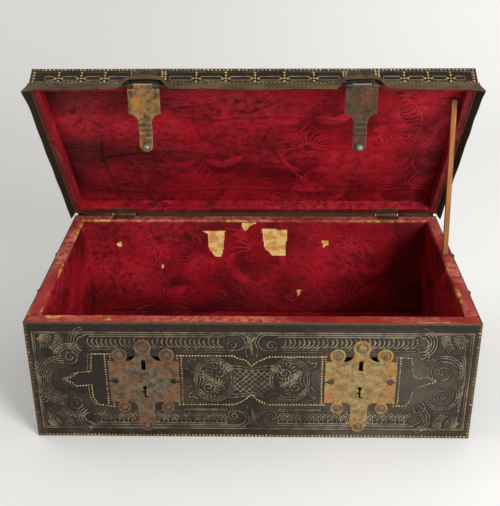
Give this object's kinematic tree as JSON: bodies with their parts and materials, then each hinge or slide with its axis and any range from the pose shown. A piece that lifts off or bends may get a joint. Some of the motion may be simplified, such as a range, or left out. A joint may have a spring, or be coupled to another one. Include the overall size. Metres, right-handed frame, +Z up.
{
  "type": "travelling trunk",
  "caption": "Flat-lidded wooden travelling trunk covered in tooled leather, with hasps, locks, drop handles and a damask lining, its lid propped open.",
  "frame": {"origin": "centre of the underside of the base", "axes": "+Z up, +X to the trunk's right-hand end as seen from its front, +Y to its back"},
  "size_m": [0.7238, 0.4119, 0.56],
  "materials": {
    "wood": "rough sawn",
    "tooled_leather": "tooled, worn",
    "lip_leather": "worn",
    "damask": "silk damask",
    "rim_damask": "faded silk",
    "rusty_iron": "rusted, worn",
    "dark_iron": "worn",
    "lock_iron": "forged",
    "stick_wood": "bare"
  },
  "bodies": {
    "trunk_base": {"base_floor_board": "wood", "base_front_board": "wood", "base_back_board": "wood", "base_left_board": "wood", "base_right_board": "wood", "base_front_leather": "tooled_leather", "base_back_leather": "tooled_leather", "base_left_leather": "tooled_leather", "base_right_leather": "tooled_leather", "floor_cloth": "damask", "base_front_cloth": "damask", "base_back_cloth": "damask", "base_left_cloth": "damask", "base_right_cloth": "damask", "base_rim_cloth": "rim_damask", "left_lock_plate": "rusty_iron", "left_lock_nails": "dark_iron", "left_lock_case": "lock_iron", "left_lock_spring": "lock_iron", "left_hinge_base_leaf": "rusty_iron", "left_hinge_pin": "rusty_iron", "left_handle_staples": "rusty_iron", "right_lock_plate": "rusty_iron", "right_lock_nails": "dark_iron", "right_lock_case": "lock_iron", "right_lock_spring": "lock_iron", "right_hinge_base_leaf": "rusty_iron", "right_hinge_pin": "rusty_iron", "right_handle_staples": "rusty_iron"},
    "lid": {"lid_top_board": "wood", "lid_front_board": "wood", "lid_back_board": "wood", "lid_left_board": "wood", "lid_right_board": "wood", "lid_top_leather": "tooled_leather", "lid_band_leather": "tooled_leather", "lid_top_cloth": "damask", "lid_wall_cloth": "damask", "lid_rim_cloth": "rim_damask", "lid_front_lip": "lip_leather", "lid_left_lip": "lip_leather", "lid_right_lip": "lip_leather", "left_hinge_lid_leaf": "rusty_iron", "right_hinge_lid_leaf": "rusty_iron", "left_hasp_strap": "rusty_iron", "right_hasp_strap": "rusty_iron", "left_hasp_pin": "rusty_iron", "right_hasp_pin": "rusty_iron"},
    "prop": {"prop_stick": "stick_wood"},
    "left_hasp": {"left_hasp": "rusty_iron", "left_hasp_knob": "dark_iron"},
    "left_bail": {"left_handle_bail": "rusty_iron"},
    "left_bolt": {"left_lock_bolt": "lock_iron"},
    "right_hasp": {"right_hasp": "rusty_iron", "right_hasp_knob": "dark_iron"},
    "right_bail": {"right_handle_bail": "rusty_iron"},
    "right_bolt": {"right_lock_bolt": "lock_iron"}
  },
  "joints": [
    {"name": "lid_hinge", "type": "hinge", "parent": "trunk_base", "child": "lid", "pos_m": [0, 0.1916, 0.2205], "axis": [1, 0, 0], "range_deg": [0, 57.4]},
    {"name": "prop_swing", "type": "hinge", "parent": "lid", "child": "prop", "pos_m": [0.326, 0.03238, 0.50042], "axis": [0, 1, 0], "range_deg": [0, 90.2]},
    {"name": "left_hasp_swing", "type": "hinge", "parent": "lid", "child": "left_hasp", "pos_m": [-0.1695, -0.01956, 0.54234], "axis": [1, 0, 0], "range_deg": [-77.6, 0]},
    {"name": "left_handle_swing", "type": "hinge", "parent": "trunk_base", "child": "left_bail", "pos_m": [-0.3562, 0, 0.199], "axis": [0, 1, 0], "range_deg": [0, 90]},
    {"name": "left_bolt_slide", "type": "slide", "parent": "trunk_base", "child": "left_bolt", "axis": [1, 0, 0], "range_m": [0, 0.012]},
    {"name": "right_hasp_swing", "type": "hinge", "parent": "lid", "child": "right_hasp", "pos_m": [0.1695, -0.01956, 0.54234], "axis": [1, 0, 0], "range_deg": [-77.6, 0]},
    {"name": "right_handle_swing", "type": "hinge", "parent": "trunk_base", "child": "right_bail", "pos_m": [0.3562, 0, 0.199], "axis": [0, 1, 0], "range_deg": [-90, 0]},
    {"name": "right_bolt_slide", "type": "slide", "parent": "trunk_base", "child": "right_bolt", "axis": [1, 0, 0], "range_m": [0, 0.012]}
  ],
  "couplings": [
    {"joint": "prop_swing", "follows": "lid_hinge", "ratio": 1.5679},
    {"joint": "left_hasp_swing", "follows": "lid_hinge", "ratio": -1.3484},
    {"joint": "right_hasp_swing", "follows": "lid_hinge", "ratio": -1.3484}
  ]
}
